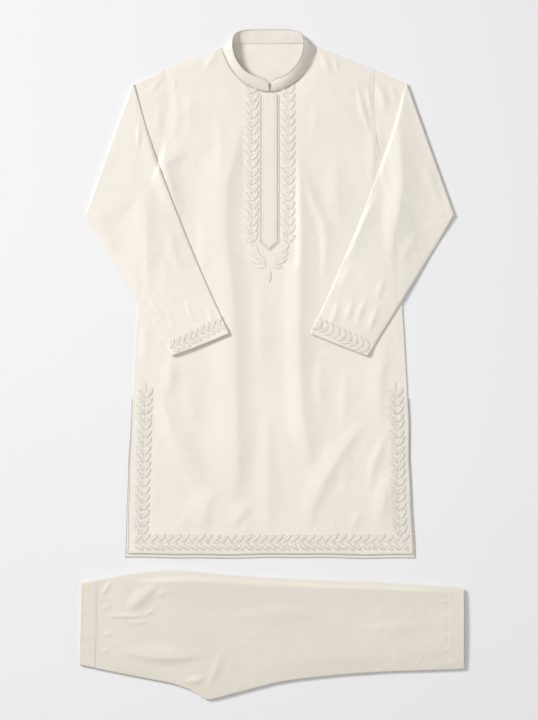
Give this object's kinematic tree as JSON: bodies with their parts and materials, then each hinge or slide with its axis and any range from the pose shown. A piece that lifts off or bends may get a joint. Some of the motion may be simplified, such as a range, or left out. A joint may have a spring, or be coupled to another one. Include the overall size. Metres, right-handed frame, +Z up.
{
  "type": "kurta churidar set",
  "caption": "Long kurta with a band collar, placket, folded-in sleeves and stitched leaf borders, laid flat above its folded churidar trousers.",
  "frame": {"origin": "on the surface the set lies on, under the middle of the set's bounding box", "axes": "+X to the right of the laid-out set, +Y from the trousers towards the kurta's collar, +Z up"},
  "size_m": [0.8016, 1.4006, 0.0211],
  "materials": {
    "kurta_silk": "satin",
    "stitching": "satin",
    "piping": "satin",
    "churidar_cloth": "matte"
  },
  "bodies": {
    "root": {"kurta_back": "kurta_silk", "kurta_front": "kurta_silk", "collar_band": "kurta_silk", "placket_strip": "kurta_silk", "sleeve_left": "kurta_silk", "sleeve_right": "kurta_silk", "drop_leaf": "stitching", "hem_leaves": "stitching", "cuff_leaves_left": "stitching", "cuff_leaves_right": "stitching", "placket_leaves_left": "stitching", "placket_leaves_right": "stitching", "slit_leaves_left": "stitching", "slit_leaves_right": "stitching", "collar_top_cord": "piping", "collar_foot_cord": "piping", "placket_inner_cord": "piping", "placket_outer_cord": "piping", "front_edge_cord": "piping", "back_edge_cord": "piping", "cuff_cord_left": "piping", "cuff_cord_right": "piping", "leg_far": "churidar_cloth", "leg_near": "churidar_cloth", "waistband": "churidar_cloth"}
  },
  "joints": []
}
